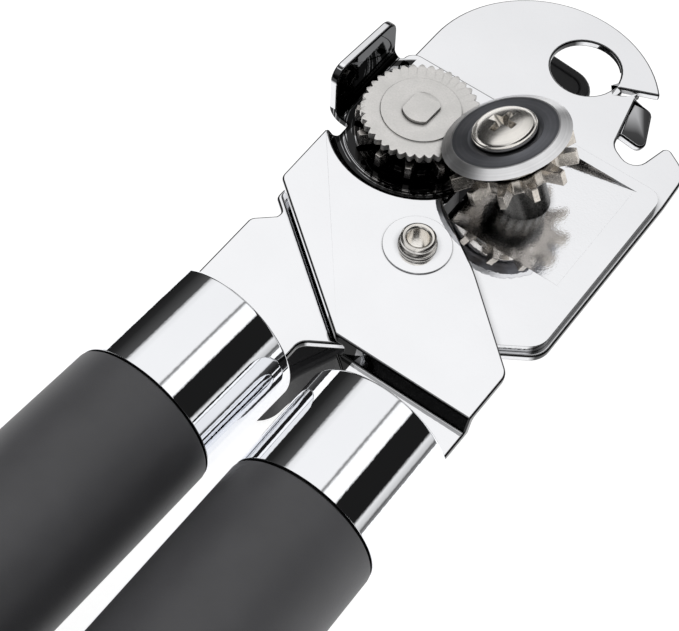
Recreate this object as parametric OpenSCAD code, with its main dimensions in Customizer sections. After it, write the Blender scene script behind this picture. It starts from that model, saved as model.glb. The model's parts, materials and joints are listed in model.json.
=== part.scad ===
// Manual can opener with crossing stamped arms, a geared cutting wheel and a bar-shaped turning knob.
// Origin: pivot axis at the top face of the upper arm. +Y runs from the handles to the hang hole,
// +Z points to the cutter side and +X is to the right when the cutter side faces the viewer.

/* [Arms] */
// Thickness of both stamped arms and of the cutter plate
plate_t = 1.5; // [1.3:0.1:1.5]
// Depth of the round drop in the upper arm that lets the drive gear sit low
drop_depth = 1.55; // [1.5:0.05:1.55]
// Radius of the round drop, about the drive shaft
drop_r = 14.8; // [14:0.1:15]
// Top of the bent-up tab above the upper arm
tab_top = 8.4; // [6:0.2:10]
// Radius of the hang hole
hang_r = 6.05; // [5:0.05:6.5]
// Radius of the round head of the lower arm
head_r = 20.7; // [20.5:0.1:21]
// Slope of the ramp pressed into the cutter plate, in degrees
ramp_slope = 8; // [5:0.5:9]
// Angle the bottle opener lip is bent down, in degrees
lip_angle = 24; // [15:1:35]

/* [Cutter and drive] */
// Teeth on each of the two equal gears
gear_teeth = 12; // [12:1:12]
// Tip radius of the gears
gear_tip_r = 10.5; // [10.3:0.1:10.5]
// Root radius of the gears
gear_root_r = 7.2; // [7:0.1:7.3]
// Thickness of each gear
gear_t = 2.6; // [2.4:0.1:2.6]
// Lean of the cutter axis towards the drive wheel, in degrees
cutter_lean = 23; // [22:0.5:23.5]
// Radius of the cutting wheel
cutter_r = 10.5; // [10:0.1:10.6]
// Radius of the serrated drive wheel over its teeth
wheel_r = 9.8; // [9.5:0.1:9.9]
// Serrations round the drive wheel
wheel_teeth = 38; // [32:1:42]

/* [Knob] */
// Length of the turning knob from end to end
knob_span = 93; // [80:1:95]
// Width of the knob across each wing
knob_w = 15.8; // [14:0.2:18]
// Thickness of the wings
knob_t = 9; // [8:0.5:11]
// Height of the knob's top below the upper arm
knob_drop = 23; // [20:0.5:26]
// Turn of the knob at rest, in degrees
knob_turn = -4.7; // [-10:0.1:10]

/* [Handles] */
// Radius of the chrome ferrules
ferrule_r = 12.5; // [12.4:0.05:12.6]
// Length of the chrome ferrules
ferrule_len = 19.1; // [17:0.1:22]
// Length of each black grip behind its ferrule
grip_len = 99; // [92:1:105]
// Largest radius of the grips
grip_r = 12.8; // [12.7:0.1:13.2]
// Outward lean of the left handle, in degrees
left_lean = 2.9; // [2:0.1:3.5]

/* [Hidden] */

$fn = 64;
// Clearance between pieces that slide, and between pieces that are pressed together.
gap = 0.05;
press = 0.02;
// How far a cutting shape reaches past the face it cuts.
over = 1;

// Levels of the stacked plates, measured at their top faces.
low_z = -drop_depth;
bottom_z = low_z - plate_t - gap;
tang_z = bottom_z;

// Drive shaft and the two gears.
drive_at = [-13.4, 19.8];
gear_low_z = -0.8;
gear_mid_z = gear_low_z + gear_t / 2;
mesh_play = 0.2;
mesh_r = (gear_tip_r + gear_root_r) / 2 + mesh_play;
wheel_z = gear_low_z + gear_t;
wheel_top = 4;
wheel_t = wheel_top - wheel_z;
spacer_t = 0.6;
relief_t = spacer_t + 0.3;
serration = 0.75;
serration_round = 0.15;
boss_r = 6.6;
boss_h = 0.3;
shaft_r = 3.1;
shaft_flats = 4.75;
shaft_proud = 0.6;

// The cutter gear's middle plane meets the drive gear's middle plane at the pitch point, but for a
// small rise along its own axis, and the cutter stands a little ahead of the drive shaft.
cutter_rise = 0.3;
cutter_ahead = 0.6;
cutter_at = [
    drive_at.x + mesh_r + mesh_r * cos(cutter_lean) - cutter_rise * sin(cutter_lean),
    drive_at.y + cutter_ahead,
    gear_mid_z + mesh_r * sin(cutter_lean) + cutter_rise * cos(cutter_lean)
];
stud_r = 2.4;
collar_z = gear_t / 2 + 0.1;
collar_t = 2.9;
collar_r = cutter_r * 0.76;
collar_step_z = 1.5;
collar_neck = 0.9;
collar_chamfer = 0.3;
cutter_t = 1.3;
disc_z = collar_z + collar_t + 0.05;
disc_top = disc_z + cutter_t;
screw_head_r = 5.3;

// Ramp in the cutter plate: hinge line, walls and open end.
ramp_hinge_x = 21.4;
ramp_open_x = -1.2;
ramp_y0 = 8.2;
ramp_y1 = 31.8;
stud_foot = foot_on_ramp();

// Pivot.
rivet_r = 2.85;
rivet_bore_r = 1.8;
rivet_top = 2.4;
washer_r = 5.5;
washer_t = 0.3;

// Shaft bushing through the upper arm, and the spring under it.
bushing_r = 4.6;
bushing_low_z = -6.2;
spring_t = 0.6;
hub_top_z = bushing_low_z - gap - spring_t - gap;
hub_r = 7.6;
slot_r = bushing_r + 0.5;
open_angle = 42;

// Handles.
wall_t = 0.8;
core_front = 2.2;
core_r = ferrule_r - wall_t - gap;
sleeve_r = 9.9;
handle_z = -2.6;
handle_y = -29.7;
left_x = -14.3;
right_x = 13.8;
right_lean = 0.24;
tang_w = 20.2;
tang_neck = 11;
tang_step = 14.5;
tang_len = 74;

chrome = [0.86, 0.87, 0.89];
steel = [0.62, 0.62, 0.64];
warm = [0.66, 0.62, 0.57];
black = [0.12, 0.12, 0.13];

// ---- outline helpers -------------------------------------------------------------------------

function unit(v) = v / norm(v);
function xy(p) = [p.x, p.y];
function fold_angle(a) = a > 180 ? a - 360 : (a < -180 ? a + 360 : a);

// Arc of radius r that rounds corner b between a and c.
function corner(a, b, c, r, n = 6) =
    let (
        u = unit(a - b),
        v = unit(c - b),
        half = acos(u * v) / 2,
        mid = b + unit(u + v) * r / sin(half),
        p = b + u * r / tan(half) - mid,
        q = b + v * r / tan(half) - mid,
        from = atan2(p.y, p.x),
        sweep = fold_angle(atan2(q.y, q.x) - from)
    )
    [for (i = [0 : n]) mid + r * [cos(from + sweep * i / n), sin(from + sweep * i / n)]];

// Outline through [x, y, radius] corners; radius 0 keeps the corner sharp.
function rounded(pts) =
    let (count = len(pts))
    [for (i = [0 : count - 1])
        let (
            before = xy(pts[(i + count - 1) % count]),
            here = xy(pts[i]),
            after = xy(pts[(i + 1) % count])
        )
        each (pts[i][2] == 0 ? [here] : corner(before, here, after, pts[i][2]))];

function arc(mid, r, from, to, n) =
    [for (i = [0 : n]) mid + r * [cos(from + (to - from) * i / n), sin(from + (to - from) * i / n)]];

// Slab between two heights with the given outline.
module slab(pts, z0, z1) {
    translate([0, 0, z0])
        linear_extrude(z1 - z0)
            polygon(pts);
}

// Extrusion along X of an outline given as [y, z] pairs.
module along_x(pts, x0, x1) {
    translate([x0, 0, 0])
        rotate([90, 0, 90])
            linear_extrude(x1 - x0)
                polygon(pts);
}

// Extrusion along Y of an outline given as [x, z] pairs.
module along_y(pts, y0, y1) {
    translate([0, y1, 0])
        rotate([90, 0, 0])
            linear_extrude(y1 - y0)
                polygon(pts);
}

// ---- frames ----------------------------------------------------------------------------------

module at_drive() {
    translate([drive_at.x, drive_at.y, 0])
        children();
}

module at_cutter() {
    translate(cutter_at)
        rotate([0, -cutter_lean, 0])
            children();
}

// Local Y runs down the handle from the front of its ferrule; local Z is up.
module at_handle(x, lean) {
    translate([x, handle_y, handle_z])
        rotate([0, 0, 180 - lean])
            children();
}

// Point at distance d down a handle and w to its local left.
function handle_point(x, lean, d, w) =
    [x - d * sin(lean) + w * cos(lean), handle_y - d * cos(lean) - w * sin(lean)];

// Height of the ramp's top face at x, and the place where the stud's axis meets it.
function ramp_z(x) = low_z - (ramp_hinge_x - x) * tan(ramp_slope);
function foot_on_ramp() =
    let (
        drop = (cutter_at.z - ramp_z(cutter_at.x))
            / (cos(cutter_lean) + sin(cutter_lean) * tan(ramp_slope))
    )
    [cutter_at.x + drop * sin(cutter_lean), cutter_at.y, cutter_at.z - drop * cos(cutter_lean)];

// ---- arms ------------------------------------------------------------------------------------

// Narrow end of a tang inside its handle, listed from the outer side round to the inner side.
function tang_end(x, lean, side) = [
    each [for (p = [[tang_step, tang_w / 2, 2], [tang_step + 2, tang_neck / 2, 2], [tang_len, tang_neck / 2, 3]])
        [each handle_point(x, lean, p[0], side * p[1]), p[2]]],
    each [for (p = [[tang_len, tang_neck / 2, 3], [tang_step + 2, tang_neck / 2, 2], [tang_step, tang_w / 2, 2]])
        [each handle_point(x, lean, p[0], -side * p[1]), p[2]]]
];

upper_outline = rounded([
    [-24.4, 33.7, 2.2],
    [-24.4, 30.9, 0],
    [-22.9, 30.9, 0],
    [-22.9, 30.1, 0],
    [-24.4, 30.1, 0],
    [-24.4, 14.2, 0],
    [-23.2, 14.2, 0.4],
    [-23.2, 11.2, 0.6],
    [-24.9, 10.2, 1],
    [-24.7, -2.3, 1.4],
    [3.6, -24.4, 3],
    each tang_end(right_x, right_lean, -1),
    [24.1, -11.2, 2.6],
    [9.5, 1.7, 30],
    [-1.9, 9.6, 1],
    [-1.9, 33.7, 2]
]);

// Sheet level of the upper arm: flat, then dropped at the fold to the tang. The drop starts only
// right of fold_x, so that it clears the lower arm's edge.
fold_y = -21.2;
fold_x = 1.5;
function upper_profile() = [
    [40, 0],
    [fold_y, 0],
    [fold_y - 0.7, tang_z],
    [-120, tang_z],
    [-120, tang_z - plate_t],
    [fold_y + 0.5, tang_z - plate_t],
    [fold_y + 1.3, -plate_t],
    [40, -plate_t]
];

// Sloping wall round the drop, as a ring about the drive shaft.
module drop_ring() {
    rotate_extrude($fn = 96)
        polygon([
            [drop_r + 1, 0],
            [drop_r, 0],
            [drop_r - 1, low_z],
            [drop_r - 2, low_z],
            [drop_r - 2, low_z - plate_t],
            [drop_r - 0.6, low_z - plate_t],
            [drop_r + 0.4, -plate_t],
            [drop_r + 1, -plate_t]
        ]);
}

// Lower floor of the drop: round below the shaft, open to the arm's end above it.
module drop_floor() {
    translate([0, 0, low_z - plate_t])
        cylinder(h = plate_t, r = drop_r - 1.5);
    translate([-drop_r - 1, 0, low_z - plate_t])
        cube([2 * drop_r + 2, 16, plate_t]);
}

// Tab bent up from the drop's left edge.
tab_x = -25.9;
tab_bend = 1.5;
module tab() {
    outer = tab_bend + plate_t;
    mid = [tab_x + tab_bend, low_z + tab_bend];
    bend = [
        [mid.x + 0.3, low_z - plate_t],
        each arc(mid, outer, -90, -180, 8),
        [mid.x - outer - 0.5, 12],
        [mid.x - tab_bend - 0.5, 12],
        each arc(mid, tab_bend, -180, -90, 8),
        [mid.x + 0.3, low_z]
    ];
    side = rounded([
        [14.2, -10, 0],
        [31.2, -10, 0],
        [31.2, tab_top - 1.6, 2.6],
        [14.2, tab_top, 2.6]
    ]);
    intersection() {
        along_y(bend, 13, 33);
        along_x(side, -40, 0);
    }
}

module upper_arm() {
    color(chrome)
    difference() {
        union() {
            intersection() {
                slab(upper_outline, -10, 5);
                union() {
                    difference() {
                        along_x(upper_profile(), -60, 60);
                        translate([drive_at.x, drive_at.y, -plate_t - over])
                            cylinder(h = plate_t + 2 * over, r = drop_r + 0.5);
                        translate([drive_at.x - drop_r - 1, drive_at.y, -plate_t - over])
                            cube([2 * drop_r + 2, 40, plate_t + 2 * over]);
                    }
                    intersection() {
                        at_drive()
                            drop_ring();
                        translate([-60, -60, -10])
                            cube([120, 60 + drive_at.y, 20]);
                    }
                    at_drive()
                        drop_floor();
                }
            }
            tab();
        }
        translate([fold_x - 10, fold_y - 0.8, tang_z - plate_t - over])
            cube([10, 4, plate_t + 1 - low_z]);
        translate([0, 0, -plate_t - over])
            cylinder(h = plate_t + 2 * over, r = rivet_r + gap);
        at_drive()
            translate([0, 0, low_z - plate_t - over])
                cylinder(h = plate_t + 2 * over, r = bushing_r);
    }
}

head_at = [-3.2, 40.8];

// Lower arm: round head with the claw, wide body, narrow tang.
lower_outline = [
    each arc(head_at, head_r, 180, 36, 36),
    each rounded_run([
        [-24, 35],
        [13.6, 53.2, 0.8],
        [10.3, 50.6, 1.4],
        [12.9, 38.9, 3],
        [18.1, 36.2, 2.4],
        [20, 44.5, 1],
        [25.6, 41.2, 5],
        [26, 33, 8],
        [26, -3.4, 4],
        [0.3, -20.4, 3],
        [-4.9, -23.9, 2.2],
        each tang_end(left_x, left_lean, 1),
        [-25, -9.9, 1.6],
        [-21.2, -6.4, 1],
        [-24.3, -4, 1.2],
        [-23.9, -1]
    ])
];

// Rounded corners between a first and a last point that are only used as neighbours.
function rounded_run(pts) =
    [for (i = [1 : len(pts) - 2])
        each corner(xy(pts[i - 1]), xy(pts[i]), xy(pts[i + 1]), pts[i][2])];

// Lip of the bottle opener: a flap hinged on the claw's inner edge and bent down.
lip_from = [10.95, 49.6];
lip_to = [12.75, 41.6];
lip_w = 5;
module bottle_lip() {
    run = lip_to - lip_from;
    flap = rounded([
        [0, 0, 0],
        [lip_w - 1.2, 0, 1.2],
        [lip_w + 0.3, norm(run), 1.6],
        [0, norm(run), 0]
    ]);
    translate([lip_from.x, lip_from.y, bottom_z])
        rotate([0, 0, atan2(run.y, run.x) - 90])
            mirror([1, 0, 0])
                translate([-0.25, 0, 0])
                    rotate([0, lip_angle, 0])
                        translate([0, 0, -plate_t])
                            linear_extrude(plate_t)
                                polygon(flap);
}

// Opening in the lower arm that the shaft sweeps through as the arms open.
module shaft_sweep(z0, h) {
    path_r = norm(drive_at);
    home = atan2(drive_at.y, drive_at.x);
    translate([0, 0, z0])
        rotate([0, 0, home]) {
            rotate_extrude(angle = open_angle)
                translate([path_r - slot_r, 0])
                    square([2 * slot_r, h]);
            for (turn = [0, open_angle])
                rotate([0, 0, turn])
                    translate([path_r, 0, 0])
                        cylinder(h = h, r = slot_r + 0.1);
        }
}

module lower_arm() {
    color(chrome)
    difference() {
        union() {
            slab(lower_outline, bottom_z - plate_t, bottom_z);
            bottle_lip();
        }
        translate([0.4, 50.3, bottom_z - plate_t - over])
            cylinder(h = plate_t + 2 * over, r = hang_r);
        shaft_sweep(bottom_z - plate_t - over, plate_t + 2 * over);
        translate([ramp_open_x - 1.3, ramp_y0 - 1.6, bottom_z - plate_t - over])
            cube([ramp_hinge_x - ramp_open_x + 1.9, ramp_y1 - ramp_y0 + 3.2, plate_t + 2 * over]);
        translate([0, 0, bottom_z - plate_t - over])
            cylinder(h = plate_t + 2 * over, r = rivet_r + press);
    }
}

plate_outline = rounded([
    [25.2, -3, 4],
    [25.2, 33.8, 2.4],
    [ramp_open_x, 33.8, 1],
    [ramp_open_x, 9.9, 1],
    [-7.4, 3.6, 3],
    [-7.2, -5.4, 6],
    [4.6, -16.8, 4]
]);

// Triangular side wall of the ramp, from the plate's top down to below the ramp.
function ramp_wall() = [
    [ramp_hinge_x + 1.5, low_z],
    [ramp_open_x, low_z],
    [ramp_open_x, ramp_z(ramp_open_x) - plate_t],
    [ramp_hinge_x, low_z - plate_t],
    [ramp_hinge_x + 1.5, low_z - plate_t]
];
function ramp_floor() = [
    [ramp_hinge_x + 1, low_z],
    [ramp_hinge_x, low_z],
    [ramp_open_x, ramp_z(ramp_open_x)],
    [ramp_open_x, ramp_z(ramp_open_x) - plate_t],
    [ramp_hinge_x, low_z - plate_t],
    [ramp_hinge_x + 1, low_z - plate_t]
];

module cutter_plate() {
    wall = 1.2;
    color(chrome)
    difference() {
        union() {
            difference() {
                slab(plate_outline, low_z - plate_t, low_z);
                translate([ramp_open_x - 1, ramp_y0, low_z - plate_t - over])
                    cube([ramp_hinge_x - ramp_open_x + 1, ramp_y1 - ramp_y0, plate_t + 2 * over]);
            }
            along_y(ramp_floor(), ramp_y0 - 0.5, ramp_y1 + 0.5);
            along_y(ramp_wall(), ramp_y0 - wall, ramp_y0);
            along_y(ramp_wall(), ramp_y1, ramp_y1 + wall);
        }
        translate([0, 0, low_z - plate_t - over])
            cylinder(h = plate_t + 2 * over, r = rivet_r + press);
        translate(stud_foot)
            rotate([0, -ramp_slope, 0])
                translate([0, 0, -plate_t - 2])
                    cylinder(h = plate_t + 4, r = stud_r);
    }
}

// ---- pivot -----------------------------------------------------------------------------------

module pivot_rivet() {
    foot = bottom_z - plate_t;
    color(warm)
    rotate_extrude()
        polygon([
            [rivet_bore_r, rivet_top - 0.4],
            [rivet_bore_r + 0.3, rivet_top - 0.1],
            [rivet_r - 0.4, rivet_top],
            [rivet_r, rivet_top - 0.3],
            [rivet_r, rivet_top - 0.9],
            [rivet_r - 0.25, rivet_top - 1.1],
            [rivet_r + 0.05, rivet_top - 1.35],
            [rivet_r + 0.25, washer_t + 0.5],
            [rivet_r + 0.25, washer_t + press],
            [rivet_r, washer_t + press],
            [rivet_r, foot - press],
            [rivet_r + 1.6, foot - press],
            [rivet_r + 1.6, foot - 0.6],
            [rivet_r + 1.1, foot - 1],
            [rivet_bore_r, foot - 1]
        ]);
}

module pivot_washer() {
    color(chrome)
    translate([0, 0, press])
        difference() {
            cylinder(h = washer_t - press, r = washer_r);
            translate([0, 0, -over])
                cylinder(h = 2, r = rivet_r + gap);
        }
}

// ---- drive -----------------------------------------------------------------------------------

// Round bar with two flats, as an outline.
module flatted(r, across) {
    intersection() {
        circle(r = r);
        translate([-r, -across / 2])
            square([2 * r, across]);
    }
}

// Coarse gear outline: narrow flat-topped teeth with wide rounded spaces.
gear_tip_half = 0.5;
gear_foot_half = 0.95;
gear_fillet = 0.5;
gear_fillet_turn = 3;
function gear_outline() =
    [for (i = [0 : gear_teeth - 1])
        let (
            turn = 360 * i / gear_teeth,
            pitch = 360 / gear_teeth,
            foot = asin(gear_foot_half / (gear_root_r + gear_fillet)),
            tip = asin(gear_tip_half / gear_tip_r)
        )
        each [
            each [for (k = [0 : 3])
                gear_root_r * dir(turn - pitch / 2 + k * (pitch / 2 - foot - gear_fillet_turn) / 3)],
            (gear_root_r + gear_fillet) * dir(turn - foot),
            gear_tip_r * dir(turn - tip),
            gear_tip_r * dir(turn + tip),
            (gear_root_r + gear_fillet) * dir(turn + foot),
            each [for (k = [3 : -1 : 1])
                gear_root_r * dir(turn + pitch / 2 - k * (pitch / 2 - foot - gear_fillet_turn) / 3)]
        ]];
function dir(a) = [cos(a), sin(a)];

// Serrated rim: rounded V teeth.
function wheel_outline() =
    [for (i = [0 : wheel_teeth - 1])
        let (turn = 360 * i / wheel_teeth, pitch = 360 / wheel_teeth)
        each [
            (wheel_r - serration) * dir(turn - pitch / 2),
            (wheel_r - serration_round) * dir(turn - pitch / 5),
            wheel_r * dir(turn),
            (wheel_r - serration_round) * dir(turn + pitch / 5)
        ]];

// How far the gears stand turned at rest, and the half pitch that puts them in mesh. The drive gear
// leads a little, because the cutter stands ahead of the drive shaft.
mesh_turn = 6;
mesh_lead = 3.5;
drive_phase = 180 / gear_teeth + mesh_turn + mesh_lead;
flats_turn = 88;

module drive_wheel() {
    color(steel)
    at_drive()
        translate([0, 0, wheel_z + press])
            difference() {
                union() {
                    translate([0, 0, relief_t])
                        linear_extrude(wheel_t - press - relief_t)
                            polygon(wheel_outline());
                    cylinder(h = spacer_t + 0.1, r = boss_r);
                    translate([0, 0, spacer_t])
                        cylinder(h = relief_t - spacer_t + 0.1, r = wheel_r - 1);
                    cylinder(h = wheel_t - press + boss_h, r = boss_r);
                }
                translate([0, 0, -over])
                    rotate([0, 0, flats_turn])
                        linear_extrude(wheel_t + 3)
                            flatted(shaft_r + press / 2, shaft_flats + press);
            }
}

module drive_gear() {
    color(steel)
    at_drive()
        translate([0, 0, gear_low_z])
            difference() {
                rotate([0, 0, drive_phase])
                    linear_extrude(gear_t)
                        polygon(gear_outline());
                rotate([0, 0, flats_turn])
                    translate([0, 0, -over])
                        linear_extrude(gear_t + 2 * over)
                            flatted(shaft_r + press / 2, shaft_flats + press);
            }
}

module drive_washer() {
    color(steel)
    at_drive()
        translate([0, 0, low_z + gap])
            difference() {
                cylinder(h = gear_low_z - low_z - 2 * gap, r = 6.5);
                translate([0, 0, -over])
                    cylinder(h = 3, r = shaft_r + gap);
            }
}

// Cutters for two flats on a round bar about Z, between two heights.
module flats(z0, z1) {
    for (side = [0, 180])
        rotate([0, 0, side])
            translate([-2 * shaft_r, shaft_flats / 2, z0])
                cube([4 * shaft_r, shaft_r, z1 - z0]);
}

module drive_shaft() {
    top = wheel_top + boss_h + shaft_proud;
    low = -knob_drop - 2.4;
    color(steel)
    at_drive()
        rotate([0, 0, flats_turn])
            difference() {
                translate([0, 0, low])
                    cylinder(h = top - low, r = shaft_r);
                flats(gear_low_z, top + 1);
                flats(low - 1, hub_top_z - 2);
                translate([0, 0, low - 1])
                    cylinder(h = 11, r = 1.5);
            }
}

module shaft_bushing() {
    flange_t = 1.2;
    color(steel)
    at_drive()
        difference() {
            union() {
                translate([0, 0, bushing_low_z])
                    cylinder(h = low_z - bushing_low_z, r = bushing_r);
                translate([0, 0, bushing_low_z])
                    cylinder(h = flange_t, r = bushing_r + 0.6);
            }
            translate([0, 0, bushing_low_z - 1])
                cylinder(h = 8, r = shaft_r + gap);
        }
}

module spring_washer() {
    color(steel)
    at_drive()
        translate([0, 0, hub_top_z + gap])
            difference() {
                cylinder(h = spring_t, r = 6);
                translate([0, 0, -over])
                    cylinder(h = 2, r = shaft_r + gap);
            }
}

// ---- knob ------------------------------------------------------------------------------------

// Bar whose wings keep one width near their ends and flare towards the wide middle.
knob_corner = 5;
knob_wing_at = 38;
knob_flare_at = 29.5;
knob_swell = 2.9;
knob_belly_r = 1500;
cap_r = 6.15;
function knob_outline(inset) =
    let (
        half = knob_span / 2 - inset,
        w = knob_w / 2 - inset,
        belly = w + knob_swell,
        r = max(knob_corner - inset, 2)
    )
    rounded([
        [w, half, r],
        [w, knob_wing_at, 12],
        [belly, knob_flare_at, 12],
        [belly, -knob_flare_at, 12],
        [w, -knob_wing_at, 12],
        [w, -half, r],
        [-w, -half, r],
        [-w, -knob_wing_at, 12],
        [-belly, -knob_flare_at, 12],
        [-belly, knob_flare_at, 12],
        [-w, knob_wing_at, 12],
        [-w, half, r]
    ]);

module knob() {
    rim = 1.8;
    low = -knob_drop - knob_t;
    half = knob_span / 2;
    sag_turn = asin((half + 1) / knob_belly_r);
    color(black)
    at_drive()
        difference() {
            union() {
                intersection() {
                    rotate([0, 0, knob_turn])
                        translate([0, 0, low])
                            linear_extrude(knob_t)
                                polygon(knob_outline(0));
                    rotate([0, 0, knob_turn])
                        along_x([
                            each arc([0, low + knob_belly_r], knob_belly_r, -90 - sag_turn, -90 + sag_turn, 24),
                            [half + 1, -knob_drop],
                            [-half - 1, -knob_drop]
                        ], -20, 20);
                }
                translate([0, 0, -knob_drop - 1])
                    cylinder(h = hub_top_z + knob_drop + 1, r1 = hub_r + 1.4, r2 = hub_r);
            }
            for (side = [0, 180])
                rotate([0, 0, knob_turn + side])
                    intersection() {
                        translate([0, 0, -knob_drop - 3])
                            linear_extrude(4)
                                polygon(knob_outline(rim));
                        translate([-20, 12.5, -knob_drop - 4])
                            cube([40, 40, 6]);
                    }
            translate([0, 0, hub_top_z - 2])
                cylinder(h = 3, r = shaft_r + gap);
            translate([0, 0, -knob_drop - 2.4])
                rotate([0, 0, flats_turn])
                    linear_extrude(40)
                        flatted(shaft_r + press / 2, shaft_flats + press);
            translate([0, 0, low - 1])
                cylinder(h = 4.6, r = cap_r + gap);
            translate([0, 0, low])
                cylinder(h = knob_t, r = 1.75);
        }
}

module knob_screw() {
    seat = -knob_drop - knob_t + 3.6;
    color(steel)
    at_drive()
        difference() {
            union() {
                translate([0, 0, seat - 2])
                    cylinder(h = 1.97, r = 3);
                translate([0, 0, seat - 1])
                    cylinder(h = 8, r = 1.45);
            }
            translate([0, 0, seat - 3])
                rotate([0, 0, 20])
                    for (turn = [0, 90])
                        rotate([0, 0, turn])
                            translate([-1.7, -0.4, 0])
                                cube([3.4, 0.8, 2.2]);
        }
}

module knob_cap() {
    low = -knob_drop - knob_t;
    color(black)
    at_drive()
        translate([0, 0, low + 0.1])
            difference() {
                cylinder(h = 2.6, r = cap_r);
                translate([0, 0, 1.1])
                    cylinder(h = 3, r = 5);
            }
}

// ---- cutter ----------------------------------------------------------------------------------

module cutting_wheel() {
    flat_r = cutter_r * 0.83;
    land = 0.3;
    color(steel)
    at_cutter()
        rotate_extrude($fn = 96)
            polygon([
                [stud_r + gap, disc_z],
                [cutter_r - 0.6, disc_z],
                [cutter_r, disc_z + land],
                [flat_r, disc_top],
                [stud_r + gap, disc_top]
            ]);
}

module cutter_collar() {
    color(warm)
    at_cutter()
        rotate_extrude()
            polygon([
                [stud_r + gap, collar_z],
                [collar_r - collar_neck - collar_chamfer, collar_z],
                [collar_r - collar_neck, collar_z + collar_chamfer],
                [collar_r - collar_neck, collar_z + collar_step_z],
                [collar_r, collar_z + collar_step_z + collar_chamfer],
                [collar_r, collar_z + collar_t - collar_chamfer],
                [collar_r - collar_chamfer, collar_z + collar_t],
                [stud_r + gap, collar_z + collar_t]
            ]);
}

module cutter_gear() {
    color(warm)
    at_cutter()
        translate([0, 0, -gear_t / 2])
            difference() {
                rotate([0, 0, -mesh_turn])
                    linear_extrude(gear_t)
                        polygon(gear_outline());
                translate([0, 0, -over])
                    cylinder(h = gear_t + 2 * over, r = stud_r + gap);
            }
}

module cutter_washer() {
    color(steel)
    at_cutter()
        translate([0, 0, -gear_t / 2 - 0.4])
            difference() {
                cylinder(h = 0.35, r = 5.4);
                translate([0, 0, -over])
                    cylinder(h = 2, r = stud_r + gap);
            }
}

// Stud: journal for the cutter, shoulder that reaches the ramp, riveted foot below the ramp.
module cutter_stud() {
    shoulder_top = -gear_t / 2 - 0.42;
    reach = norm(stud_foot - cutter_at) + 3;
    color(steel)
    difference() {
        union() {
            difference() {
                at_cutter() {
                    translate([0, 0, -reach])
                        cylinder(h = reach + shoulder_top, r = 4.2);
                    translate([0, 0, shoulder_top - 0.5])
                        cylinder(h = disc_top + 0.05 - shoulder_top + 0.5, r = stud_r);
                }
                translate(stud_foot)
                    rotate([0, -ramp_slope, 0])
                        translate([-12, -12, -12])
                            cube([24, 24, 12.01]);
            }
            translate(stud_foot)
                rotate([0, -ramp_slope, 0]) {
                    translate([0, 0, -plate_t - 0.5])
                        cylinder(h = plate_t + 1, r = stud_r - 0.01);
                    translate([0, 0, -plate_t - 1.1])
                        cylinder(h = 1.08, r1 = 3.6, r2 = 4.2);
                }
        }
        at_cutter()
            translate([0, 0, disc_top - 7])
                cylinder(h = 9, r = 1.5);
    }
}

module cutter_screw() {
    seat = disc_top + 0.1;
    head_h = 2.3;
    rim_h = 0.9;
    chamfer = 0.3;
    recess_z = 1.1;
    color(warm)
    at_cutter()
        difference() {
            union() {
                rotate_extrude()
                    polygon([
                        [0, seat],
                        [screw_head_r - chamfer, seat],
                        [screw_head_r, seat + chamfer],
                        [screw_head_r, seat + rim_h],
                        each [for (i = [1 : 8])
                            [(screw_head_r - chamfer) * cos(11.25 * i),
                             seat + rim_h + (head_h - rim_h) * sin(11.25 * i)]]
                    ]);
                translate([0, 0, seat - 6])
                    cylinder(h = 6.5, r = 1.45);
            }
            translate([0, 0, seat + recess_z])
                for (turn = [0, 90])
                    rotate([0, 0, turn])
                        translate([-2.3, -0.45, 0])
                            cube([4.6, 0.9, 2]);
        }
}

// ---- handles ---------------------------------------------------------------------------------

// Turned part about the handle's axis; profile points are [radius, distance from the front].
module turned(pts) {
    rotate([-90, 0, 0])
        rotate_extrude($fn = 96)
            polygon(pts);
}

module ferrule(x, lean) {
    lip = 0.7;
    color(chrome)
    at_handle(x, lean)
        turned([
            [ferrule_r - wall_t, 0.4],
            [ferrule_r - wall_t + 0.1, 0.1],
            [ferrule_r - lip, 0],
            [ferrule_r - 0.2, 0.2],
            [ferrule_r, lip],
            [ferrule_r, ferrule_len],
            [ferrule_r - wall_t, ferrule_len]
        ]);
}

// Hard liner that grips the tang; the ferrule and the grip slide over it.
module core(x, lean) {
    slot_h = plate_t + 0.04;
    slot_z = bottom_z - plate_t - 0.02 - handle_z;
    color(black)
    at_handle(x, lean)
        difference() {
            turned([
                [0, core_front],
                [core_r - 0.5, core_front],
                [core_r, core_front + 0.5],
                [core_r, ferrule_len + 0.3],
                [sleeve_r, ferrule_len + 0.3],
                [sleeve_r, ferrule_len + grip_len - 22],
                [0, ferrule_len + grip_len - 22]
            ]);
            translate([-tang_w / 2 - 0.9, 0, slot_z])
                cube([tang_w + 1.8, tang_step + 4.4, slot_h]);
            translate([-tang_neck / 2 - 0.1, 0, slot_z])
                cube([tang_neck + 0.2, tang_len + 0.5, slot_h]);
        }
}

module grip(x, lean) {
    start = ferrule_len + 0.35;
    finish = ferrule_len + grip_len;
    dome = 8;
    waist = ferrule_r + 0.1;
    color(black)
    at_handle(x, lean)
        difference() {
            turned([
                [0, start],
                [waist - 0.5, start],
                [waist - 0.1, start + 0.4],
                each [for (i = [0 : 20])
                    [waist + (grip_r - waist) * sin(9 * i),
                     start + 0.8 + (finish - dome - start - 0.8) * i / 20]],
                each [for (i = [1 : 9])
                    [waist - 6 + 6 * cos(10 * i), finish - dome + dome * sin(10 * i)]],
                [0, finish]
            ]);
            translate([0, start - 1, 0])
                rotate([-90, 0, 0])
                    cylinder(h = finish - 21.9 - start + 1, r = sleeve_r + 0.02);
        }
}

// ---- nodes -----------------------------------------------------------------------------------

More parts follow.
